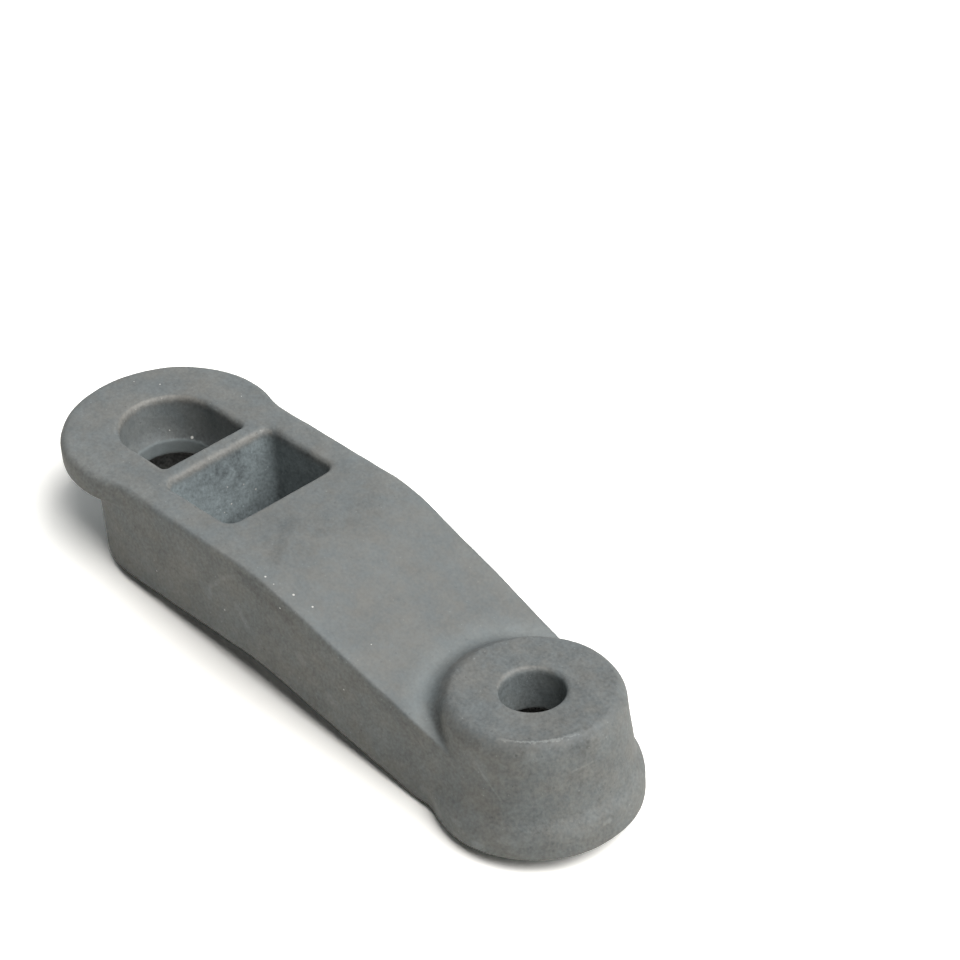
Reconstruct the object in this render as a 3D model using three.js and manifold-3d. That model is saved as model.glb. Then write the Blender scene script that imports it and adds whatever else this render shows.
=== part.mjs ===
// Roof anchor: one iron casting, about 99 mm long, in millimetres with +Z up.
//
// A round flange at the high end carries a D-shaped pocket with a bolt hole in its floor.
// A flat arm with a square pocket leaves the flange, bends down and runs into a round boss,
// which has a bolt hole, a wider foot and a hollow underside.
// The origin is in the middle of the length and width, level with the bottom of the foot.

import * as THREE from 'three';
import { mergeVertices } from 'three/addons/utils/BufferGeometryUtils.js';
import Module from 'manifold-3d';

const wasm = await Module();
wasm.setup();

// ---- driving dimensions ----

const BOLT_PITCH = 70.2;        // flange hole to boss hole
const TOP_HEIGHT = 22.4;        // flange and flat arm, above the foot's face
const BOSS_HEIGHT = 16.45;

const FLANGE_RADIUS = 14.8;
const LIP_THICKNESS = 3.7;      // flange, where it overhangs the arm's round end
const LIP_EDGE = 1.1;

const ARM_HALF_WIDTH = 13.65;
const ARM_END_OFFSET = 5.5;     // centre of the arm's round end, from the flange hole
const ARM_UNDERSIDE = 7.1;      // height of the flat part's underside
const BEND_OFFSET = 34.0;       // where the arm turns down, from the flange hole
const TOP_SLOPE = 0.323;        // fall of the arm's top past the bend
const UNDERSIDE_SLOPE = 0.25;
const UNDERSIDE_LOW = 0.2;      // the arm stays this far above the foot's face
const SIDE_TAPER = 0.042;       // each side draws in past the bend

const BOSS_RADIUS = 11.7;       // at the top of the wall
const BOSS_DRAFT = 0.06;        // the wall widens by this much for each millimetre down
const BOSS_ROUND = 2.4;         // cast round at the top of the wall
const BOSS_FACING = 0.3;        // skimmed off that round by the machined face
const FOOT_FLARE = 0.95;        // extra radius of the foot
const FLARE_TOP = 7.8;          // heights between which the wall flares out to the foot
const FLARE_BOTTOM = 3.8;
const FOOT_EDGE = 0.7;

const BOSS_HOLE_RADIUS = 4.25;  // clearance for an M8 bolt
const BOSS_WEB = 6.1;           // metal between the boss face and the hollow foot
const FOOT_HOLLOW_RADIUS = 9.0;

const FLANGE_HOLE_RADIUS = 5.5; // clearance for an M10 bolt
const FLANGE_WEB = 2.1;         // floor of the D pocket
const RECESS_RADIUS = 6.4;      // round recess below that floor
const D_POCKET_RADIUS = 6.75;
const D_POCKET_DEPTH = 6.45;
const D_POCKET_FLAT = 7.3;      // flat wall of the D, from the flange hole

const SQUARE_POCKET_START = 10.0;   // from the flange hole
const SQUARE_POCKET_END = 23.4;
const SQUARE_POCKET_HALF_WIDTH = 8.8;
const SQUARE_POCKET_DEPTH = 13.0;
const SQUARE_POCKET_CORNER = 1.5;

const ROUND_STEPS = 48;         // facets round a full circle
const EDGE_STEPS = 4;           // facets round a small edge or corner
const FLARE_STEPS = 6;          // facets down the foot's flare
const CLEAR = 2.0;              // how far a cutting tool runs past the face it cuts

// ---- worked out from them ----

// Radius of the boss wall: a slight draft all the way, and a smooth flare out to the foot.
function bossWall(height) {
  const aboveFlare = THREE.MathUtils.smoothstep(height, FLARE_BOTTOM, FLARE_TOP);
  return BOSS_RADIUS + BOSS_DRAFT * (BOSS_HEIGHT - height) + FOOT_FLARE * (1 - aboveFlare);
}

const HALF_FACET = Math.PI / ROUND_STEPS;
const FOOT_RADIUS = bossWall(FOOT_EDGE);
const FLANGE_X = ((FLANGE_RADIUS - FOOT_RADIUS) * Math.cos(HALF_FACET) - BOLT_PITCH) / 2;
const BOSS_X = FLANGE_X + BOLT_PITCH;
const BEND_X = FLANGE_X + BEND_OFFSET;
const UNDERSIDE_LOW_X = BEND_X + (ARM_UNDERSIDE - UNDERSIDE_LOW) / UNDERSIDE_SLOPE;
const ARM_TOP_AT_BOSS = TOP_HEIGHT - TOP_SLOPE * (BOSS_X - BEND_X);
const ARM_HALF_WIDTH_AT_BOSS = ARM_HALF_WIDTH - SIDE_TAPER * (BOSS_X - BEND_X);

// ---- solids: join and cut ----

function solidOf(geometry) {
  const bare = geometry.clone();
  bare.deleteAttribute('normal');
  bare.deleteAttribute('uv');
  const merged = mergeVertices(bare, 1e-4);
  const mesh = new wasm.Mesh({
    numProp: 3,
    vertProperties: new Float32Array(merged.attributes.position.array),
    triVerts: new Uint32Array(merged.index.array),
  });
  return new wasm.Manifold(mesh);
}

function geometryOf(solid) {
  const mesh = solid.getMesh();
  const geometry = new THREE.BufferGeometry();
  geometry.setAttribute('position', new THREE.BufferAttribute(new Float32Array(mesh.vertProperties), 3));
  geometry.setIndex(new THREE.BufferAttribute(new Uint32Array(mesh.triVerts), 1));
  geometry.computeVertexNormals();
  return geometry;
}

// A solid of revolution about a vertical axis; profile points are (radius, height).
// It has a facet square to the length at each end, which the casting can rest on without rocking.
function turned(profile, x) {
  const geometry = new THREE.LatheGeometry(profile, ROUND_STEPS);
  geometry.rotateX(Math.PI / 2);
  geometry.rotateZ(HALF_FACET);
  geometry.translate(x, 0, 0);
  return solidOf(geometry);
}

// A vertical round bar between two heights.
function roundBar(radius, x, low, high) {
  const geometry = new THREE.CylinderGeometry(radius, radius, high - low, ROUND_STEPS);
  geometry.rotateX(Math.PI / 2);
  geometry.translate(x, 0, (low + high) / 2);
  return solidOf(geometry);
}

// A plan outline, standing between two heights; each of its arcs gets twice `curveSegments` facets.
function raised(outline, low, high, curveSegments) {
  const geometry = new THREE.ExtrudeGeometry(outline, {
    depth: high - low,
    bevelEnabled: false,
    curveSegments,
  });
  geometry.translate(0, 0, low);
  return solidOf(geometry);
}

// Points of an arc of radius `size` about (radius, height), between two angles.
function roundEdge(radius, height, size, from, to) {
  const points = [];
  for (let step = 0; step <= EDGE_STEPS; step += 1) {
    const angle = from + (to - from) * (step / EDGE_STEPS);
    points.push(new THREE.Vector2(radius + size * Math.cos(angle), height + size * Math.sin(angle)));
  }
  return points;
}

// ---- the parts of the casting ----

function flange() {
  const low = TOP_HEIGHT - LIP_THICKNESS;
  const centre = FLANGE_RADIUS - LIP_EDGE;
  return turned([
    new THREE.Vector2(0, low),
    ...roundEdge(centre, low + LIP_EDGE, LIP_EDGE, -Math.PI / 2, 0),
    ...roundEdge(centre, TOP_HEIGHT - LIP_EDGE, LIP_EDGE, 0, Math.PI / 2),
    new THREE.Vector2(0, TOP_HEIGHT),
  ], FLANGE_X);
}

// Plan of the arm: a round end with one facet square to the length, parallel sides, then a slight
// taper to the boss.
function armPlan() {
  const plan = new THREE.Shape();
  const end = FLANGE_X + ARM_END_OFFSET;
  plan.moveTo(BOSS_X, ARM_HALF_WIDTH_AT_BOSS);
  plan.lineTo(BEND_X, ARM_HALF_WIDTH);
  plan.lineTo(end, ARM_HALF_WIDTH);
  plan.absarc(end, 0, ARM_HALF_WIDTH, Math.PI / 2, Math.PI - HALF_FACET, false);
  plan.absarc(end, 0, ARM_HALF_WIDTH, Math.PI + HALF_FACET, 3 * Math.PI / 2, false);
  plan.lineTo(BEND_X, -ARM_HALF_WIDTH);
  plan.lineTo(BOSS_X, -ARM_HALF_WIDTH_AT_BOSS);
  plan.closePath();
  return plan;
}

// Side view of the arm: level, then down to the boss, with the height along the outline's y.
function armSide() {
  const side = new THREE.Shape();
  const start = FLANGE_X - FLANGE_RADIUS;
  side.moveTo(start, ARM_UNDERSIDE);
  side.lineTo(BEND_X, ARM_UNDERSIDE);
  side.lineTo(UNDERSIDE_LOW_X, UNDERSIDE_LOW);
  side.lineTo(BOSS_X, UNDERSIDE_LOW);
  side.lineTo(BOSS_X, ARM_TOP_AT_BOSS);
  side.lineTo(BEND_X, TOP_HEIGHT);
  side.lineTo(start, TOP_HEIGHT);
  side.closePath();
  return side;
}

function arm() {
  const width = 2 * (ARM_HALF_WIDTH + CLEAR);
  const across = new THREE.ExtrudeGeometry(armSide(), { depth: width, bevelEnabled: false });
  across.rotateX(Math.PI / 2);
  across.translate(0, width / 2, 0);
  return solidOf(across).intersect(raised(armPlan(), -CLEAR, TOP_HEIGHT + CLEAR, ROUND_STEPS / 8));
}

function boss() {
  const roundCentre = BOSS_RADIUS - BOSS_ROUND;
  const faceAngle = Math.asin(1 - BOSS_FACING / BOSS_ROUND);
  const flare = [];
  for (let step = 0; step <= FLARE_STEPS; step += 1) {
    const height = THREE.MathUtils.lerp(FLARE_BOTTOM, FLARE_TOP, step / FLARE_STEPS);
    flare.push(new THREE.Vector2(bossWall(height), height));
  }
  return turned([
    new THREE.Vector2(0, 0),
    ...roundEdge(FOOT_RADIUS - FOOT_EDGE, FOOT_EDGE, FOOT_EDGE, -Math.PI / 2, 0),
    ...flare,
    ...roundEdge(roundCentre, BOSS_HEIGHT + BOSS_FACING - BOSS_ROUND, BOSS_ROUND, 0, faceAngle),
    new THREE.Vector2(0, BOSS_HEIGHT),
  ], BOSS_X);
}

// ---- what is cut out of it ----

function bossHole() {
  const ceiling = BOSS_HEIGHT - BOSS_WEB;
  return roundBar(BOSS_HOLE_RADIUS, BOSS_X, ceiling - CLEAR, BOSS_HEIGHT + CLEAR)
    .add(roundBar(FOOT_HOLLOW_RADIUS, BOSS_X, -CLEAR, ceiling));
}

function dPocket() {
  const flat = FLANGE_X + D_POCKET_FLAT;
  const plan = new THREE.Shape();
  plan.moveTo(flat, D_POCKET_RADIUS);
  plan.lineTo(FLANGE_X, D_POCKET_RADIUS);
  plan.absarc(FLANGE_X, 0, D_POCKET_RADIUS, Math.PI / 2, 3 * Math.PI / 2, false);
  plan.lineTo(flat, -D_POCKET_RADIUS);
  plan.closePath();
  return raised(plan, TOP_HEIGHT - D_POCKET_DEPTH, TOP_HEIGHT + CLEAR, ROUND_STEPS / 4);
}

function flangeHole() {
  const floor = TOP_HEIGHT - D_POCKET_DEPTH;
  return roundBar(FLANGE_HOLE_RADIUS, FLANGE_X, floor - FLANGE_WEB - CLEAR, floor + CLEAR)
    .add(roundBar(RECESS_RADIUS, FLANGE_X, ARM_UNDERSIDE - CLEAR, floor - FLANGE_WEB));
}

function squarePocket() {
  const left = FLANGE_X + SQUARE_POCKET_START;
  const right = FLANGE_X + SQUARE_POCKET_END;
  const side = SQUARE_POCKET_HALF_WIDTH;
  const corner = SQUARE_POCKET_CORNER;
  const plan = new THREE.Shape();
  plan.moveTo(left + corner, -side);
  plan.lineTo(right - corner, -side);
  plan.absarc(right - corner, -side + corner, corner, -Math.PI / 2, 0, false);
  plan.lineTo(right, side - corner);
  plan.absarc(right - corner, side - corner, corner, 0, Math.PI / 2, false);
  plan.lineTo(left + corner, side);
  plan.absarc(left + corner, side - corner, corner, Math.PI / 2, Math.PI, false);
  plan.lineTo(left, -side + corner);
  plan.absarc(left + corner, -side + corner, corner, Math.PI, 3 * Math.PI / 2, false);
  return raised(plan, TOP_HEIGHT - SQUARE_POCKET_DEPTH, TOP_HEIGHT + CLEAR, EDGE_STEPS / 2);
}

// ---- the casting ----

function casting() {
  const cuts = [bossHole(), dPocket(), flangeHole(), squarePocket()];
  let body = arm().add(flange()).add(boss());
  for (const cut of cuts) {
    body = body.subtract(cut);
  }
  return geometryOf(body);
}

const castIron = new THREE.MeshStandardMaterial({
  name: 'cast_iron',
  color: 0x6f7370,
  roughness: 0.62,
  metalness: 0.35,
});

const anchor = new THREE.Mesh(casting(), castIron);
anchor.name = 'anchor_casting';

const group = new THREE.Group();
group.add(anchor);

export default group;
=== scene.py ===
"""A roof anchor: one iron casting, lying tipped on a white floor.

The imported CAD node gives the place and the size. The visible piece is the same casting with its cast
rounds, fillets, drafts and skin. Its shape is a distance field in millimetres, turned into a mesh.
"""

import math

import bpy
import numpy as np
from mathutils import Matrix, Vector


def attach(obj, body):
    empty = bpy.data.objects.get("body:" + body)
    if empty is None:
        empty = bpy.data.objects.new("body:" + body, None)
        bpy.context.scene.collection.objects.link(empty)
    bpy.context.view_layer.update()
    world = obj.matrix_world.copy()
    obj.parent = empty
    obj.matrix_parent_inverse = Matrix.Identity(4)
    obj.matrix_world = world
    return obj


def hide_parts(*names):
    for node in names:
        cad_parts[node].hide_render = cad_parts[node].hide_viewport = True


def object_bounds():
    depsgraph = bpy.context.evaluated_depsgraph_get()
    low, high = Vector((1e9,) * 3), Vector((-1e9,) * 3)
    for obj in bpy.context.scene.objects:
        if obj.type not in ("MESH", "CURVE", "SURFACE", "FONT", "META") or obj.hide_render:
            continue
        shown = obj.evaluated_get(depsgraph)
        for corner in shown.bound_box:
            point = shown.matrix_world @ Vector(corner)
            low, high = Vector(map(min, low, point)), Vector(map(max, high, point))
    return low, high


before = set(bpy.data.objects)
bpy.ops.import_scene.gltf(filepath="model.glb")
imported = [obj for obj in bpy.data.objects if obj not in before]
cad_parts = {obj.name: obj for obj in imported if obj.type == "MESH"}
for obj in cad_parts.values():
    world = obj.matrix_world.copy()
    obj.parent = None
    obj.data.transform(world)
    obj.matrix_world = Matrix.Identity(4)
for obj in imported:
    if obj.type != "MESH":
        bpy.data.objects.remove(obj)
cad_low, cad_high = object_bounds()

MM = 0.001

# ---- the casting's dimensions, in millimetres, with x from the flange hole towards the boss ----

BOLT_PITCH = 70.2
TOP_HEIGHT = 22.4
BOSS_HEIGHT = 16.45

FLANGE_RADIUS = 14.8
LIP_THICKNESS = 3.7
LIP_EDGE = 0.7              # round at the lip's lower edge
LIP_TO_ARM = 0.4            # fillet where the lip meets the arm
TOP_EDGE = 1.25             # round along the top at the flange
ARM_EDGE = 0.5              # and further along the arm
EDGE_CHANGE = (0.0, 28.0)   # x where one round turns into the other
FAR_CHANGE = (36.0, 54.0)   # and the same on the far side

ARM_HALF_WIDTH = 13.6
ARM_END = 5.5               # centre of the arm's round end
ARM_UNDERSIDE = 7.1
UNDERSIDE_EDGE = 0.7
UNDERSIDE_LOW = 0.2
BEND = 34.0
BEND_SOFTNESS = 4.0         # the bend is spread over this far each way
TOP_SLOPE = 0.323
UNDERSIDE_BEND = 32.8
UNDERSIDE_SLOPE = 0.25
SIDE_TAPER = 0.042
SIDE_DRAFT = 0.023

BOSS_RADIUS = 11.45
BOSS_DRAFT = 0.095
BOSS_ROUND = 2.2
BOSS_FACING = 0.25          # metal faced off the boss
BOSS_FACE_EDGE = 0.15       # the machined face's own edge
RIM_RADIUS = 10.15          # where the machined face ends
BOSS_TO_ARM = 2.6           # fillet round the boss
BOSS_SIDE_BLEND = 0.5       # where the arm's sides run straight into the boss
FOOT_RADIUS = 13.55
FOOT_TOP = 6.4              # the foot's ring ends here on the boss
FOOT_SHOULDER = 3.6
FOOT_TO_BOSS = 0.5
FOOT_EDGE = 0.7

BOSS_HOLE_RADIUS = 4.1
BOSS_HOLE_RIM = 0.8
BOSS_WEB = 6.8
FOOT_HOLLOW_RADIUS = 9.0
FOOT_HOLLOW_DRAFT = 0.03
HOLLOW_ROUND = 1.5

POCKET_ROUND = 1.3          # where a pocket's wall turns into its floor
POCKET_DRAFT = 0.05
POCKET_RIM = 0.85
WEB_RIM = 1.1               # the square pocket's rim on the web between the pockets
D_POCKET_RADIUS = 6.72
D_POCKET_DEPTH = 7.25
D_POCKET_ROUND = 3.0
D_POCKET_FLAT = 7.3
D_FLAT_DRAFT = 0.02
FLANGE_HOLE_RADIUS = 5.5
FLANGE_HOLE_RIM = 0.15
RECESS_DEPTH = 6.5          # up from the arm's underside, below the flange hole
RECESS_RADIUS = 6.4
RECESS_ROUND = 1.0

SQUARE_POCKET_START = 10.05
SQUARE_POCKET_END = 23.4
SQUARE_POCKET_HALF_WIDTH = 8.8
SQUARE_POCKET_DEPTH = 13.0
SQUARE_POCKET_CORNER = 1.5
PAST_WEB = (8.5, 9.5)       # x in the middle of the web between the pockets

SMALL_ROUND = 0.5
CELL = 0.34                 # spacing of the mesh

cad_middle = (cad_low.x + cad_high.x) / 2 / MM
flange_x = cad_middle + (FLANGE_RADIUS - FOOT_RADIUS - BOLT_PITCH) / 2

# ---- shape: distances in millimetres, below zero inside the metal ----


def joined(a, b, radius):
    """Either solid, with a round fillet where they meet."""
    near = np.hypot(np.maximum(radius - a, 0), np.maximum(radius - b, 0))
    return np.maximum(radius, np.minimum(a, b)) - near


def common(a, b, radius):
    """What two solids share, with a round edge where they meet."""
    near = np.hypot(np.maximum(radius + a, 0), np.maximum(radius + b, 0))
    return np.minimum(-radius, np.maximum(a, b)) + near


def step(value, low, high):
    """0 below low, 1 above high, smooth between."""
    share = np.clip((value - low) / (high - low), 0, 1)
    return share * share * (3 - 2 * share)


def ramp(value, softness):
    """How far value is above 0, with the corner at 0 spread over softness each way."""
    soft = (value + softness) ** 2 / (4 * softness)
    return np.where(value > softness, value, np.where(value < -softness, 0, soft))


def arm_top(x, z):
    """Distance above the arm's bent top."""
    slope = TOP_SLOPE * step(x, BEND - BEND_SOFTNESS, BEND + BEND_SOFTNESS)
    height = TOP_HEIGHT - TOP_SLOPE * ramp(x - BEND, BEND_SOFTNESS)
    return (z - height) / np.hypot(1, slope)


def arm_and_flange(x, y, z):
    along = np.clip(x, ARM_END, BOLT_PITCH)
    half_width = ARM_HALF_WIDTH - SIDE_TAPER * ramp(along - BEND, BEND_SOFTNESS)
    half_width = half_width - SIDE_DRAFT * (TOP_HEIGHT - z)
    side = np.hypot(x - along, y) - half_width
    low = ARM_UNDERSIDE - UNDERSIDE_SLOPE * ramp(x - UNDERSIDE_BEND, BEND_SOFTNESS)
    arm = common(side, np.maximum(low, UNDERSIDE_LOW) - z, UNDERSIDE_EDGE)
    lip = common(np.hypot(x, y) - FLANGE_RADIUS, TOP_HEIGHT - LIP_THICKNESS - z, LIP_EDGE)
    far_side = step(y, -3.0, 3.0) * (1 - step(x, *FAR_CHANGE))
    edge = TOP_EDGE + (ARM_EDGE - TOP_EDGE) * step(x, *EDGE_CHANGE) * (1 - far_side)
    return common(joined(arm, lip, LIP_TO_ARM), arm_top(x, z), edge)


def boss(from_axis, z):
    wall = from_axis - (BOSS_RADIUS + BOSS_DRAFT * (BOSS_HEIGHT - z))
    cast = common(wall, z - BOSS_HEIGHT - BOSS_FACING, BOSS_ROUND)
    foot = common(from_axis - FOOT_RADIUS, z - FOOT_TOP, FOOT_SHOULDER)
    faced = common(joined(cast, foot, FOOT_TO_BOSS), z - BOSS_HEIGHT, BOSS_FACE_EDGE)
    return common(faced, -z, FOOT_EDGE)


def d_pocket(x, y, z):
    depth = TOP_HEIGHT - z
    sides = np.where(x < 0, np.hypot(x, y), np.abs(y)) - (D_POCKET_RADIUS - POCKET_DRAFT * depth)
    plan = common(sides, x - D_POCKET_FLAT + D_FLAT_DRAFT * depth, SMALL_ROUND)
    return common(plan, depth - D_POCKET_DEPTH, D_POCKET_ROUND)


def square_pocket(x, y, z):
    depth = TOP_HEIGHT - z
    half_length = (SQUARE_POCKET_END - SQUARE_POCKET_START) / 2
    middle = (SQUARE_POCKET_END + SQUARE_POCKET_START) / 2
    ends = np.abs(x - middle) - half_length + POCKET_DRAFT * depth
    sides = np.abs(y) - SQUARE_POCKET_HALF_WIDTH + POCKET_DRAFT * depth
    plan = common(ends, sides, SQUARE_POCKET_CORNER)
    return common(plan, depth - SQUARE_POCKET_DEPTH, POCKET_ROUND)


def casting(points):
    """Distance from the casting's surface at points (..., 3), x from the flange hole."""
    x, y, z = points[..., 0], points[..., 1], points[..., 2]
    from_flange = np.hypot(x, y)
    from_boss = np.hypot(x - BOLT_PITCH, y)
    beside = step(np.abs(y), BOSS_RADIUS - 3, BOSS_RADIUS)
    beside = np.maximum(beside, step(x, BOLT_PITCH - 7, BOLT_PITCH - 2))
    blend = BOSS_TO_ARM + (BOSS_SIDE_BLEND - BOSS_TO_ARM) * beside
    body = joined(arm_and_flange(x, y, z), boss(from_boss, z), blend)
    body = np.maximum(body, -z)
    body = common(body, BOSS_HOLE_RADIUS - from_boss, BOSS_HOLE_RIM)
    hollow_wall = from_boss - FOOT_HOLLOW_RADIUS + FOOT_HOLLOW_DRAFT * z
    hollow = common(hollow_wall, z - BOSS_HEIGHT + BOSS_WEB, HOLLOW_ROUND)
    body = common(body, -hollow, SMALL_ROUND)
    body = common(body, -d_pocket(x, y, z), POCKET_RIM)
    body = common(body, FLANGE_HOLE_RADIUS - from_flange, FLANGE_HOLE_RIM)
    recess = common(from_flange - RECESS_RADIUS, z - ARM_UNDERSIDE - RECESS_DEPTH, RECESS_ROUND)
    body = common(body, -recess, SMALL_ROUND)
    rim = WEB_RIM + (POCKET_RIM - WEB_RIM) * step(x, SQUARE_POCKET_START + 0.5, SQUARE_POCKET_START + 4)
    return common(body, -square_pocket(x, y, z), rim)


def gradient(field, points, reach=0.02):
    """The field's slope along each axis at the points."""
    slopes = []
    for axis in range(3):
        shift = np.zeros(3)
        shift[axis] = reach
        slopes.append(field(points + shift) - field(points - shift))
    return np.stack(slopes, -1) / (2 * reach)


def unit(vectors):
    return vectors / (np.linalg.norm(vectors, axis=-1, keepdims=True) + 1e-12)


# ---- mesh: one vertex in each cell that the surface crosses, placed so that crisp edges stay crisp ----


def meshed(field, low, high, cell):
    """Vertices and four-sided faces of the field's zero surface (dual contouring)."""
    counts = np.ceil((high - low) / cell).astype(int) + 1
    axes = [low[i] + cell * np.arange(counts[i]) for i in range(3)]
    grid = np.stack(np.meshgrid(*axes, indexing="ij"), -1)
    value = field(grid)
    ids = np.arange(np.prod(counts)).reshape(counts)
    cells, crossings, faces = [], [], []
    for axis in range(3):
        lower = np.take(value, np.arange(counts[axis] - 1), axis)
        upper = np.take(value, np.arange(1, counts[axis]), axis)
        corner = np.argwhere((lower < 0) != (upper < 0))
        at = tuple(corner.T)
        part_way = lower[at] / (lower[at] - upper[at])
        point = grid[at].copy()
        point[:, axis] += part_way * cell
        second, third = (axis + 1) % 3, (axis + 2) % 3
        ring = []
        for back_second, back_third in ((0, 0), (1, 0), (1, 1), (0, 1)):
            owner = corner.copy()
            owner[:, second] -= back_second
            owner[:, third] -= back_third
            ring.append(ids[tuple(owner.T)])
        ring = np.stack(ring, 1)
        leaving = (lower[at] < 0)[:, None]
        faces.append(np.where(leaving, ring, ring[:, ::-1]))
        cells.append(ring)
        crossings.append(point)
    cells = np.concatenate(cells)
    crossings = np.concatenate(crossings)
    faces = np.concatenate(faces)
    normals = unit(gradient(field, crossings))

    used, compact = np.unique(cells.ravel(), return_inverse=True)
    owner = compact.ravel()
    point = np.repeat(crossings, 4, axis=0)
    normal = np.repeat(normals, 4, axis=0)
    count = np.bincount(owner, minlength=len(used)).astype(float)
    mean = np.stack([np.bincount(owner, point[:, i], len(used)) for i in range(3)], 1)
    mean = mean / count[:, None]
    away = np.einsum("ij,ij->i", normal, point - mean[owner])
    matrix = np.zeros((len(used), 3, 3))
    target = np.zeros((len(used), 3))
    for i in range(3):
        target[:, i] = np.bincount(owner, normal[:, i] * away, len(used))
        for j in range(3):
            matrix[:, i, j] = np.bincount(owner, normal[:, i] * normal[:, j], len(used))
    steady = 0.05           # holds a flat cell's vertex near the middle of its crossings
    matrix += steady * np.eye(3)
    offset = np.linalg.solve(matrix, target[..., None])[..., 0]
    vertices = mean + np.clip(offset, -cell / 2, cell / 2)
    for _ in range(2):
        slope = gradient(field, vertices)
        size = np.maximum((slope ** 2).sum(-1, keepdims=True), 0.25)
        vertices = vertices - np.clip(field(vertices)[:, None] * slope / size, -cell / 4, cell / 4)
    return vertices, np.searchsorted(used, faces)


def waves(points, longest, shortest, seed, count=48):
    """A smooth random field of about -1 to 1, made of waves of these lengths in millimetres."""
    draw = np.random.default_rng(seed)
    direction = unit(draw.normal(size=(count, 3)))
    length = shortest * (longest / shortest) ** draw.random(count)
    phase = draw.random(count) * 2 * math.pi
    turns = points @ (direction * (2 * math.pi / length)[:, None]).T + phase
    return np.cos(turns).sum(1) * math.sqrt(2 / count) / 2


def mesh_object(name, vertices, faces):
    mesh = bpy.data.meshes.new(name)
    mesh.from_pydata(vertices.tolist(), [], faces.tolist())
    mesh.validate()
    mesh.update()
    made = bpy.data.objects.new(name, mesh)
    bpy.context.scene.collection.objects.link(made)
    return made


def vertex_value(mesh, name, values):
    attribute = mesh.attributes.new(name, "FLOAT", "POINT")
    attribute.data.foreach_set("value", values.astype(np.float32))


SWELLING = 0.04             # slow unevenness of the cast skin
PEBBLING = 0.01             # finer unevenness
SKIN_INSET = 0.055          # keeps the uneven skin inside the stated size


def grit_of(points, normals, pocket, machined):
    """How strongly the surface is mottled: most on the web's wall, least in the D-shaped pocket."""
    upward = step(normals[:, 2], 0.5, 0.9)
    sloping = upward * step(points[:, 0], BEND - 2, BEND + 3) * (1 - machined)
    on_flange = upward * (1 - step(points[:, 0], 8, 26))
    web_wall = pocket * step(points[:, 0], *PAST_WEB)
    grit = 1 - 0.35 * upward - 0.2 * sloping + 0.1 * on_flange + 0.25 * machined
    grit = grit + 0.15 * web_wall - 0.35 * (pocket - web_wall)
    in_hole = np.hypot(points[:, 0], points[:, 1]) < FLANGE_HOLE_RADIUS + 0.2
    return np.where(in_hole, 0.3, grit)


def painted_skylight_of(points, normals, pocket):
    """Painted light: a lighter, cooler tint standing in for the bluish sky light in the pockets and
    holes, round the boss, and along the sides' top edge.
    """
    x, y, z = points.T
    square = step(x, *PAST_WEB)
    web_wall = square * step(normals[:, 0], 0.2, 0.7)
    hole_wall = (np.hypot(x, y) < FLANGE_HOLE_RADIUS + 0.2) * (z > ARM_UNDERSIDE + RECESS_DEPTH - 0.3)
    pocket = np.maximum(pocket * (0.27 + 0.38 * square + 0.35 * web_wall), 0.6 * hole_wall)
    upward = step(normals[:, 2], 0.4, 0.85)
    from_boss = np.hypot(x - BOLT_PITCH, y)
    round_boss = (1 - step(from_boss, BOSS_RADIUS + 2.5, BOSS_RADIUS + 6.0)) * upward
    round_boss = round_boss * (from_boss > BOSS_RADIUS + 0.3)
    boss_hole = (from_boss < BOSS_HOLE_RADIUS + 0.2) * (z > BOSS_HEIGHT - BOSS_WEB)
    down_side = (1 - step(-arm_top(x, z), 0.6, 3.0)) * (1 - upward)
    inside_edge = (1 - step(ARM_HALF_WIDTH - np.abs(y), 0.8, 4.5)) * upward
    along_arm = 1 - step(x, BOLT_PITCH - BOSS_RADIUS - 6, BOLT_PITCH - BOSS_RADIUS)
    edges = (0.06 * down_side + 0.1 * inside_edge) * along_arm
    return np.maximum.reduce([pocket, 0.35 * boss_hole, 0.3 * round_boss, edges])


def painted_shade_of(points):
    """Painted shade where little light falls: the pocket floors, the hollows under the flange and the
    boss, the boss's shoulder, the groove round the boss, and a band just under the top edges.
    """
    x, y, z = points.T
    deep = TOP_HEIGHT - z
    d_floor = (1 - step(d_pocket(x, y, z), 0.1, 0.6)) * step(deep, 3.8, 6.0)
    d_floor = d_floor * (0.45 + 0.45 * step(x + 0.5 * y, -5.0, 1.0))
    d_floor = d_floor * (np.hypot(x, y) > FLANGE_HOLE_RADIUS + 0.15)
    square_floor = (1 - step(square_pocket(x, y, z), 0.1, 0.6)) * step(deep + 0.25 * y, 9.0, 12.5)
    below_flange = (np.hypot(x, y) < RECESS_RADIUS + 1.0) * (z < ARM_UNDERSIDE + RECESS_DEPTH + 0.1)
    from_boss = np.hypot(x - BOLT_PITCH, y)
    below_boss = (from_boss < FOOT_HOLLOW_RADIUS + 1.0) * (z < BOSS_HEIGHT - BOSS_WEB + 0.1)
    hollows = 1.6 * np.maximum(below_flange, below_boss) * step(z, 0.5, 2.0)
    shoulder = step(z, 14.0, 15.4) * step(from_boss, BOSS_RADIUS - 2.2, BOSS_RADIUS - 1.4)
    shoulder = 0.22 * shoulder * (from_boss < BOSS_RADIUS + 0.4) * (y < 0)
    toward_arm = step((BOLT_PITCH - x) / from_boss, 0.2, 0.75)
    groove = 1 - step(from_boss, BOSS_RADIUS + 0.6, BOSS_RADIUS + 3.2)
    groove = groove * step(from_boss, RIM_RADIUS - 0.1, RIM_RADIUS + 0.35)
    groove = 0.42 * groove * toward_arm * (z > BOSS_HEIGHT - 4.5)
    under_edge = step(-arm_top(x, z), 0.3, 0.8) * (1 - step(-arm_top(x, z), 1.0, 3.2))
    under_edge = 0.2 * under_edge * (np.abs(y) > BOSS_RADIUS - 1) * (from_boss > BOSS_RADIUS + 1)
    return np.maximum.reduce([d_floor, 0.55 * square_floor, hollows, shoulder, groove, under_edge])


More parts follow.
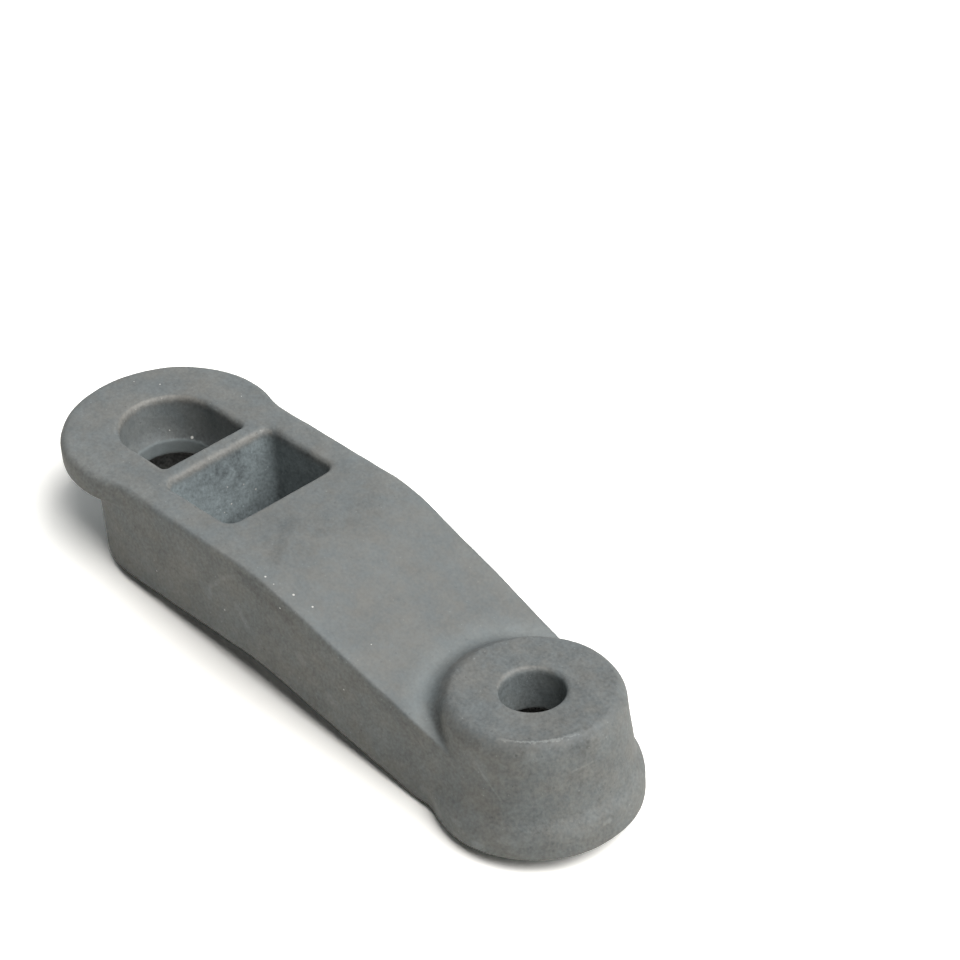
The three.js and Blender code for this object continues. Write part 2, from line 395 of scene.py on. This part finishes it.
def worn_and_lit_rims_of(points, normals):
    """How worn the rims are round the D-shaped pocket, on the web and round the boss hole, with a
    painted highlight: only rims facing +x, where the key light falls, get it.
    """
    x, y, z = points.T
    below_top = -arm_top(x, z)
    at_top = 1 - step(below_top, 0.4, 1.8)
    facing = step(0.95 * normals[:, 0] - 0.3 * normals[:, 1], 0.1, 0.5)
    tilted = step(np.hypot(normals[:, 0], normals[:, 1]), 0.08, 0.45)
    d_rim = (1 - step(d_pocket(x, y, z), 0.2, 1.2)) * at_top * facing
    web_rim = (1 - step(square_pocket(x, y, z), 0.2, 1.0)) * at_top * step(normals[:, 0], 0.15, 0.5)
    from_boss = np.hypot(x - BOLT_PITCH, y)
    hole_rim = (1 - step(from_boss - BOSS_HOLE_RADIUS, 0.2, 1.0)) * (1 - step(BOSS_HEIGHT - z, 0.3, 1.2))
    return np.maximum.reduce([d_rim, web_rim, 0.8 * hole_rim * facing]) * tilted


def build_casting():
    low = np.array([-FLANGE_RADIUS, -FLANGE_RADIUS, 0.0]) - 1.37 * CELL
    high = np.array([BOLT_PITCH + FOOT_RADIUS, FLANGE_RADIUS, TOP_HEIGHT]) + 2 * CELL
    points, faces = meshed(casting, low, high, CELL)
    normals = unit(gradient(casting, points, 0.1))
    x, y, z = points.T

    metal = [-casting(points - normals * reach) / reach for reach in (0.5, 1.2)]
    ridge = np.clip(1 - sum(metal) / 2, 0, 1)
    machined = step(z, BOSS_HEIGHT - 0.25, BOSS_HEIGHT - 0.05)
    machined = machined * (np.hypot(x - BOLT_PITCH, y) < BOSS_RADIUS)
    from_pocket = np.minimum(square_pocket(x, y, z), d_pocket(x, y, z))
    pocket = (1 - step(from_pocket, 0.1, 0.6)) * step(TOP_HEIGHT - z, 0.4, 2.0)

    cast_skin = SWELLING * waves(points, 14.0, 5.0, 3) + PEBBLING * waves(points, 3.2, 1.3, 5, 96)
    skin = cast_skin * (1 - 0.8 * machined) - SKIN_INSET
    placed = points + normals * skin[:, None] + np.array([flange_x, 0, 0])
    placed = np.clip(placed * MM, np.array(cad_low), np.array(cad_high))
    made = mesh_object("cast_body", placed, faces)
    # wear on convex edges, and the worn rims with their painted highlight
    vertex_value(made.data, "ridge", np.maximum(0.3 * ridge, 0.6 * worn_and_lit_rims_of(points, normals)))
    vertex_value(made.data, "machined", machined)
    # painted shade for the pockets, hollows, shoulder, groove and under the edges
    vertex_value(made.data, "painted_shade", painted_shade_of(points))
    vertex_value(made.data, "grit", grit_of(points, normals, pocket, machined))
    # painted sky light: where the lighter, cooler tint goes
    vertex_value(made.data, "painted_skylight", painted_skylight_of(points, normals, pocket))
    for polygon in made.data.polygons:
        polygon.use_smooth = True
    return made


body = build_casting()

# ---- material ----

# Marks on the skin: two ends in millimetres, half width, softness, change of brightness.
MARKS = [
    ((28.1, -3.0, 22.4), (33.6, -9.6, 22.1), 0.2, 1.2, -0.15),
    ((33.0, -1.6, 22.2), (35.0, 6.0, 21.9), 0.1, 1.1, -0.06),
    ((10.1, -0.1, 19.7), (10.1, 0.6, 19.2), 0.3, 0.9, -0.28),
    ((10.1, 2.7, 20.2), (10.2, 3.6, 18.0), 0.45, 0.9, -0.27),
    ((10.2, 3.3, 17.2), (10.2, 2.2, 16.6), 0.25, 0.8, -0.18),
    ((10.1, -2.2, 19.7), (10.1, -2.7, 19.5), 0.3, 0.8, -0.16),
    ((65.9, -12.3, 10.5), (69.0, -12.5, 9.3), 0.08, 0.25, 0.3),
    ((72.9, -11.65, 12.1), (75.7, -10.9, 8.5), 0.05, 0.2, 0.25),
    ((81.45, -4.1, 12.2), (82.1, -1.3, 12.45), 0.05, 0.2, 0.3),
    ((69.6, -13.5, 3.1), (70.6, -13.5, 3.2), 0.15, 0.5, 0.25),
    ((73.0, -13.3, 1.3), (74.0, -13.1, 1.2), 0.15, 0.5, 0.3),
    ((83.5, -1.2, 3.5), (83.6, -0.5, 3.5), 0.1, 0.35, 0.3),
    ((78.3, -7.8, 14.9), (79.0, -7.1, 14.8), 0.3, 0.8, 0.18),
    ((81.2, 6.6, 5.8), (81.3, 6.7, 5.6), 0.1, 0.3, -0.45),
    ((23.5, -13.4, 12.9), (23.9, -13.4, 15.1), 0.12, 0.5, 0.24),
    ((23.9, -13.4, 15.1), (27.2, -13.5, 18.3), 0.1, 0.45, 0.19),
    ((27.2, -13.5, 18.3), (30.7, -13.5, 20.2), 0.12, 0.45, 0.21),
    ((29.6, -13.4, 14.7), (30.8, -13.3, 12.7), 0.2, 0.7, 0.2),
    ((41.0, -13.1, 12.8), (41.6, -13.1, 12.1), 0.2, 0.7, 0.24),
    ((46.0, -12.9, 9.0), (47.0, -12.8, 8.2), 0.2, 0.8, 0.24),
    ((72.6, -11.6, 12.6), (73.8, -11.5, 11.8), 0.3, 0.9, 0.2),
    ((31.0, -13.4, 20.4), (39.5, -13.2, 18.4), 0.3, 1.3, -0.2),
    ((62.0, -12.4, 3.0), (66.0, -12.8, 2.2), 0.2, 0.9, 0.22),
    ((76.5, -11.9, 3.2), (80.5, -9.4, 3.4), 0.2, 0.8, 0.18),
]

# Pale grains stuck in the skin: centre and radius in millimetres.
GRAINS = [
    ((39.05, -11.46, 20.77), 0.21),
    ((41.76, -10.72, 19.9), 0.19),
    ((34.82, -12.41, 21.93), 0.18),
    ((10.35, 5.45, 13.98), 0.2),
    ((-11.7, 3.2, 22.4), 0.15),
    ((-8.5, 5.2, 22.4), 0.15),
    ((-2.6, 5.3, 16.3), 0.28),
    ((-5.3, 3.6, 17.1), 0.18),
    ((-6.0, 1.8, 16.5), 0.16),
    ((-6.5, 1.1, 17.2), 0.14),
    ((10.3, 3.6, 15.7), 0.15),
    ((10.35, 1.2, 13.8), 0.18),
    ((10.4, -0.1, 13.1), 0.12),
    ((10.25, 1.0, 16.6), 0.12),
    ((10.2, 5.1, 17.2), 0.12),
    ((12.2, -13.4, 11.5), 0.18),
    ((26.5, -13.4, 12.7), 0.18),
    ((38.4, -13.3, 19.3), 0.16),
    ((42.6, -13.0, 8.5), 0.16),
    ((49.1, -12.75, 11.8), 0.16),
    ((33.7, -11.6, 22.2), 0.12),
    ((36.4, -12.4, 21.6), 0.15),
    ((37.4, -13.1, 20.9), 0.12),
]

# Colours.
SKIN_COOL = (0.1195, 0.1325, 0.1355, 1)
SKIN_WARM = (0.1345, 0.1365, 0.1295, 1)
# a lighter, cooler copy of the skin, painted where sky light falls
SKYLIT_SKIN = (0.192, 0.224, 0.234, 1)
# bare metal on worn edges, also the colour of the rims' painted highlight
WORN_AND_LIT_COLOUR = (0.178, 0.171, 0.156, 1)
GRAIN_COLOUR = (0.48, 0.48, 0.46, 1)

# Changes of brightness, as shares of the colour.
MOTTLING = 0.4
SPECKLE = 0.2
DUST = 0.45
PITS = 0.2
# how much the painted shade darkens
PAINTED_SHADE = 0.5
FACED = 0.09                # the machined face is this much darker
# brightening of worn edges and of the rims' painted highlight
EDGE_WEAR_AND_HIGHLIGHT = 0.06
# brightening of the boss face's rubbed rim and its painted highlight
RIM_WEAR_AND_HIGHLIGHT = 0.7

# Sizes of the patterns, in millimetres.
PATCH_SIZE = 5.5
MOTTLE_SIZE = 6.0
SPECKLE_SIZE = 0.42
WAVY_SIZE = 2.4
BROKEN_SIZE = 0.8
GRAIN_SIZE = 0.55
GRAIN_DIRECTION = (0.63, -0.49, 0.6)        # mottling and speckle are drawn out along this
GRAIN_STRETCH = 0.4

# Gloss.
ROUGHNESS = 0.62
SPECULAR = 0.4

# Relief, in millimetres.
GRAIN_RELIEF = 0.02         # the cast skin's own grain
PIT_DEPTH = 0.03
STUCK_HEIGHT = 0.04         # the pale grains stuck in it
RING_HEIGHT = 0.0012        # the tool's rings on the faced boss
RING_PITCH = 0.42

# The side of the boss face's rim that is rubbed and carries a painted highlight, the side towards the
# camera: a direction, and how far out along it.
RUBBED_AND_LIT_SIDE = (0.7878, -0.616, 0)
RUBBED_AND_LIT_FROM = 8.44
RUBBED_AND_LIT_TO = 10.05


class Graph:
    """Adds nodes to one material or world. Each method gives back the output of what it adds."""

    def __init__(self, material):
        self.tree = material.node_tree

    def node(self, kind, output, inputs, **settings):
        made = self.tree.nodes.new(kind)
        for name, value in settings.items():
            setattr(made, name, value)
        for name, value in inputs.items():
            if isinstance(value, bpy.types.NodeSocket):
                self.tree.links.new(value, made.inputs[name])
            else:
                made.inputs[name].default_value = value
        return made.outputs[output]

    def maths(self, operation, a, b=0.0, clamp=False):
        settings = {"operation": operation, "use_clamp": clamp}
        return self.node("ShaderNodeMath", 0, {0: a, 1: b}, **settings)

    def add(self, first, *others):
        for other in others:
            first = self.maths("ADD", first, other)
        return first

    def times(self, first, *others):
        for other in others:
            first = self.maths("MULTIPLY", first, other)
        return first

    def vector(self, operation, a, b, output="Vector"):
        return self.node("ShaderNodeVectorMath", output, {0: a, 1: b}, operation=operation)

    def scaled(self, vector, factor):
        inputs = {"Vector": vector, "Scale": factor}
        return self.node("ShaderNodeVectorMath", "Vector", inputs, operation="SCALE")

    def attribute(self, name):
        return self.node("ShaderNodeAttribute", "Fac", {}, attribute_name=name)

    def between(self, value, low, high):
        """0 at low, 1 at high, smooth between. Low may be the greater."""
        inputs = {"Value": value, "From Min": low, "From Max": high}
        return self.node("ShaderNodeMapRange", 0, inputs, interpolation_type="SMOOTHSTEP")

    def noise(self, place, size, detail=0.0, roughness=0.5):
        """Random values about 0, nearly all between -1 and 1, with features of this size."""
        inputs = {"Vector": place, "Scale": 1 / size, "Detail": detail, "Roughness": roughness}
        raw = self.node("ShaderNodeTexNoise", 0, inputs)
        return self.times(self.maths("SUBTRACT", raw, 0.5), 3.0)

    def mix(self, share, a, b):
        return self.node("ShaderNodeMix", 2, {0: share, 6: a, 7: b}, data_type="RGBA")

    def from_line(self, place, start, end):
        """Distance from the straight line between two points."""
        reach = Vector(end) - Vector(start)
        away = self.vector("SUBTRACT", place, start)
        along = self.vector("DOT_PRODUCT", away, reach / reach.length_squared, "Value")
        along = self.maths("MAXIMUM", self.maths("MINIMUM", along, 1.0), 0.0)
        nearest = self.scaled(tuple(reach), along)
        return self.vector("DISTANCE", away, nearest, "Value")

    def scattered(self, place, spacing, largest, chance):
        """Small round spots, one in some of the cells of this size."""
        inputs = {"Vector": place, "Scale": 1 / spacing}
        away = self.node("ShaderNodeTexVoronoi", "Distance", inputs)
        draw = self.node("ShaderNodeTexVoronoi", "Color", inputs)
        draw = self.node("ShaderNodeSeparateColor", 0, {"Color": draw})
        size = self.times(self.between(draw, 1 - chance, 1.0), largest / spacing)
        return self.between(self.maths("SUBTRACT", size, away), 0.0, 0.25 * largest / spacing)


def cast_iron():
    material = bpy.data.materials.new("cast_iron")
    material.use_nodes = True
    shader = material.node_tree.nodes["Principled BSDF"]
    graph = Graph(material)
    metres = graph.node("ShaderNodeTexCoord", "Object", {})
    place = graph.vector("SUBTRACT", graph.scaled(metres, 1 / MM), (flange_x, 0, 0))
    grit = graph.attribute("grit")
    ridge = graph.attribute("ridge")
    machined = graph.attribute("machined")
    # painted sky light
    painted_skylight = graph.attribute("painted_skylight")
    # painted shade
    painted_shade = graph.attribute("painted_shade")

    # colour: warm and cool patches of the cast skin, then a painted lighter, cooler tint for sky light
    # in the pockets and round the boss
    patches = graph.noise(place, PATCH_SIZE, 4.0, 0.75)
    colour = graph.mix(graph.between(patches, -0.6, 0.6), SKIN_COOL, SKIN_WARM)
    skylight_share = graph.times(painted_skylight, graph.add(1.0, graph.times(patches, 0.25)))
    colour = graph.mix(skylight_share, colour, SKYLIT_SKIN)

    # brightness: mottling, speckle, painted shade, the machined face, marks, worn edges and rims with
    # their painted highlight, pits and dust
    along = graph.vector("DOT_PRODUCT", place, GRAIN_DIRECTION, "Value")
    squeeze = graph.scaled(GRAIN_DIRECTION, graph.times(along, -GRAIN_STRETCH))
    drawn_out = graph.vector("ADD", place, squeeze)
    mottling = graph.noise(graph.vector("ADD", drawn_out, (31, 7, 3)), MOTTLE_SIZE, 4.5, 0.95)
    speckle = graph.noise(graph.vector("ADD", drawn_out, (3, 41, 9)), SPECKLE_SIZE, 1.0)
    bright = graph.add(1.0, graph.times(mottling, grit, MOTTLING), graph.times(speckle, grit, SPECKLE))
    # painted shade darkens; the machined face is a little darker
    bright = graph.add(bright, graph.times(painted_shade, -PAINTED_SHADE), graph.times(machined, -FACED))
    broken = graph.noise(place, BROKEN_SIZE, 3.0, 0.7)
    wavy = graph.noise(place, WAVY_SIZE, 2.0)
    for start, end, half_width, soft, change in MARKS:
        away = graph.from_line(place, start, end)
        away = graph.add(away, graph.times(wavy, 0.7 * soft), graph.times(broken, 0.25 * soft))
        mark = graph.between(away, half_width + soft, half_width)
        bright = graph.add(bright, graph.times(mark, change))
    # worn edges, and worn rims with a painted highlight
    worn_and_lit = graph.between(graph.add(ridge, graph.times(broken, 0.22)), 0.1, 0.7)
    colour = graph.mix(graph.times(worn_and_lit, 0.6), colour, WORN_AND_LIT_COLOUR)
    bright = graph.add(bright, graph.times(worn_and_lit, graph.add(1.0, broken), EDGE_WEAR_AND_HIGHLIGHT))
    pits = graph.scattered(place, 1.1, 0.2, 0.3)
    bright = graph.add(bright, graph.times(pits, grit, -PITS))
    dust = graph.scattered(graph.vector("ADD", place, (9, 2, 6)), 0.75, 0.13, 0.4)
    bright = graph.add(bright, graph.times(dust, grit, DUST))
    grains = graph.scattered(graph.vector("ADD", place, (5, 5, 5)), 2.3, 0.12, 0.15)
    for centre, radius in GRAINS:
        away = graph.vector("DISTANCE", place, centre, "Value")
        grains = graph.maths("MAXIMUM", grains, graph.between(away, radius, 0.5 * radius))

    # the boss face's rim: rubbed, with a painted highlight on the side towards the camera
    from_axis = graph.vector("SUBTRACT", place, (BOLT_PITCH, 0, 0))
    from_axis = graph.vector("MULTIPLY", from_axis, (1, 1, 0))
    radius = graph.node("ShaderNodeVectorMath", "Value", {0: from_axis}, operation="LENGTH")
    toward = graph.vector("DOT_PRODUCT", from_axis, RUBBED_AND_LIT_SIDE, "Value")
    height = graph.node("ShaderNodeSeparateXYZ", "Z", {"Vector": place})
    off_rim = graph.maths("ABSOLUTE", graph.maths("SUBTRACT", radius, RIM_RADIUS))
    rubbed_and_lit = graph.between(graph.add(off_rim, graph.times(broken, 0.45)), 0.3, 0.0)
    rubbed_and_lit = graph.times(rubbed_and_lit, graph.between(toward, RUBBED_AND_LIT_FROM, RUBBED_AND_LIT_TO))
    rubbed_and_lit = graph.times(rubbed_and_lit, graph.between(height, BOSS_HEIGHT - 1.25, BOSS_HEIGHT - 0.45))
    bright = graph.add(bright, graph.times(rubbed_and_lit, RIM_WEAR_AND_HIGHLIGHT))

    colour = graph.mix(grains, graph.scaled(colour, bright), GRAIN_COLOUR)
    graph.tree.links.new(colour, shader.inputs["Base Color"])

    # gloss: smoother on the worn edges and highlighted rims, on the boss face's rubbed rim, and where
    # faced
    rough = graph.add(ROUGHNESS, graph.times(mottling, 0.06), graph.times(worn_and_lit, -0.08))
    rough = graph.add(rough, graph.times(rubbed_and_lit, -0.12), graph.times(machined, -0.06))
    graph.tree.links.new(rough, shader.inputs["Roughness"])
    shader.inputs["Metallic"].default_value = 0.0
    shader.inputs["Specular IOR Level"].default_value = SPECULAR

    # relief: cast grain, pits, grains, and the tool's rings on the faced boss
    grain = graph.times(graph.noise(place, GRAIN_SIZE, 2.0, 0.7), grit, GRAIN_RELIEF)
    rings = graph.maths("SINE", graph.times(radius, 2 * math.pi / RING_PITCH))
    relief = graph.add(grain, graph.times(rings, machined, RING_HEIGHT))
    relief = graph.add(relief, graph.times(pits, -PIT_DEPTH), graph.times(grains, STUCK_HEIGHT))
    bumped = graph.node("ShaderNodeBump", 0, {"Height": relief, "Distance": MM, "Strength": 1.0})
    graph.tree.links.new(bumped, shader.inputs["Normal"])
    return material


body.data.materials.append(cast_iron())
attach(body, "root")
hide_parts("anchor_casting")

# ---- floor: tipped, because the anchor lies on its foot's edge and the arm's lower edge ----

FLOOR_HALF_SIZE = 1.2                       # metres
FLOOR_COLOUR = (0.86, 0.845, 0.795, 1)      # as it lights the anchor
FLOOR_SEEN = (1.25, 1.24, 1.21, 1)          # as it is seen: overexposed to a clean white


def build_floor():
    # the centres of the two rounded edges that touch the floor
    arm_edge = Vector((ARM_END - ARM_HALF_WIDTH + UNDERSIDE_EDGE, 0, ARM_UNDERSIDE + UNDERSIDE_EDGE))
    foot_edge = Vector((BOLT_PITCH - FOOT_RADIUS + FOOT_EDGE, 0, FOOT_EDGE))
    fall = (arm_edge.z - foot_edge.z) / (foot_edge.x - arm_edge.x)
    floor_up = Vector((fall, 0, 1)).normalized()
    touch = (foot_edge - FOOT_EDGE * floor_up + Vector((flange_x, 0, 0))) * MM

    size = FLOOR_HALF_SIZE
    corners = np.array([(-size, -size, 0), (size, -size, 0), (size, size, 0), (-size, size, 0)])
    made = mesh_object("floor", corners, np.array([(0, 1, 2, 3)]))
    tip = floor_up.to_track_quat("Z", "Y").to_matrix().to_4x4()
    made.matrix_world = Matrix.Translation(touch) @ tip

    material = bpy.data.materials.new("white_floor")
    material.use_nodes = True
    graph = Graph(material)
    by_camera = graph.node("ShaderNodeLightPath", "Is Camera Ray", {})
    colour = graph.mix(by_camera, FLOOR_COLOUR, FLOOR_SEEN)
    matt = graph.node("ShaderNodeBsdfDiffuse", 0, {"Color": colour})
    graph.tree.links.new(matt, graph.tree.nodes["Material Output"].inputs["Surface"])
    made.data.materials.append(material)


build_floor()

# ---- light ----

LIGHT_DISTANCE = 1.6                        # metres from the anchor's middle
ROOM_LIGHT = (0.062, 0.065, 0.066, 1)       # the dim room, as it lights the anchor
WHITE = (1.0, 1.0, 1.0, 1)                  # what shows beyond the floor's edge

# Soft square lights: azimuth and elevation in degrees, width in metres, watts, colour.
LIGHTS = {
    "key": (9, 60, 1.4, 43.5, (1.0, 0.985, 0.965)),
    "low": (40, 38, 1.2, 7.5, (0.98, 0.99, 1.0)),
    "sky": (145, 33, 1.9, 9.5, (0.9, 0.96, 1.0)),
}


def build_light(name, azimuth, elevation, width, power, colour):
    turn, rise = math.radians(azimuth), math.radians(elevation)
    toward = (math.cos(turn) * math.cos(rise), math.sin(turn) * math.cos(rise), math.sin(rise))
    direction = Vector(toward).normalized()
    data = bpy.data.lights.new(name, "AREA")
    data.size = width
    data.energy = power
    data.color = colour
    made = bpy.data.objects.new(name, data)
    bpy.context.scene.collection.objects.link(made)
    made.location = direction * LIGHT_DISTANCE
    made.rotation_mode = "QUATERNION"
    made.rotation_quaternion = direction.to_track_quat("Z", "Y")


def build_room():
    world = bpy.data.worlds.new("studio")
    world.use_nodes = True
    graph = Graph(world)
    by_camera = graph.node("ShaderNodeLightPath", "Is Camera Ray", {})
    colour = graph.mix(by_camera, ROOM_LIGHT, WHITE)
    graph.tree.links.new(colour, graph.tree.nodes["Background"].inputs["Color"])
    bpy.context.scene.world = world


for light_name, light in LIGHTS.items():
    build_light(light_name, *light)
build_room()
bpy.context.scene.view_settings.view_transform = "Standard"

# ---- camera, at the angle of the product shot ----

CAMERA_RIGHT = Vector((0.65183, 0.75466, -0.07484))
CAMERA_UP = Vector((-0.42013, 0.44151, 0.79282))
CAMERA_AIM = Vector((32.0, 0, 10.0))        # millimetres, x from the flange hole
CAMERA_DISTANCE = 461.9                     # millimetres from there
CAMERA_LENS = 133.3                         # millimetres, as is the sensor
SENSOR_WIDTH = 36.0
SHIFT_X = 0.1538
SHIFT_Y = 0.1236
CLIP_START = 0.01                           # metres


def build_camera():
    back = CAMERA_RIGHT.cross(CAMERA_UP).normalized()
    aim = (CAMERA_AIM + Vector((flange_x, 0, 0))) * MM
    data = bpy.data.cameras.new("camera")
    data.sensor_width = SENSOR_WIDTH
    data.lens = CAMERA_LENS
    data.shift_x = SHIFT_X
    data.shift_y = SHIFT_Y
    data.clip_start = CLIP_START
    made = bpy.data.objects.new("camera", data)
    bpy.context.scene.collection.objects.link(made)
    turn = Matrix((CAMERA_RIGHT, CAMERA_UP, back)).transposed().to_4x4()
    made.matrix_world = Matrix.Translation(aim + back * CAMERA_DISTANCE * MM) @ turn
    bpy.context.scene.camera = made


build_camera()
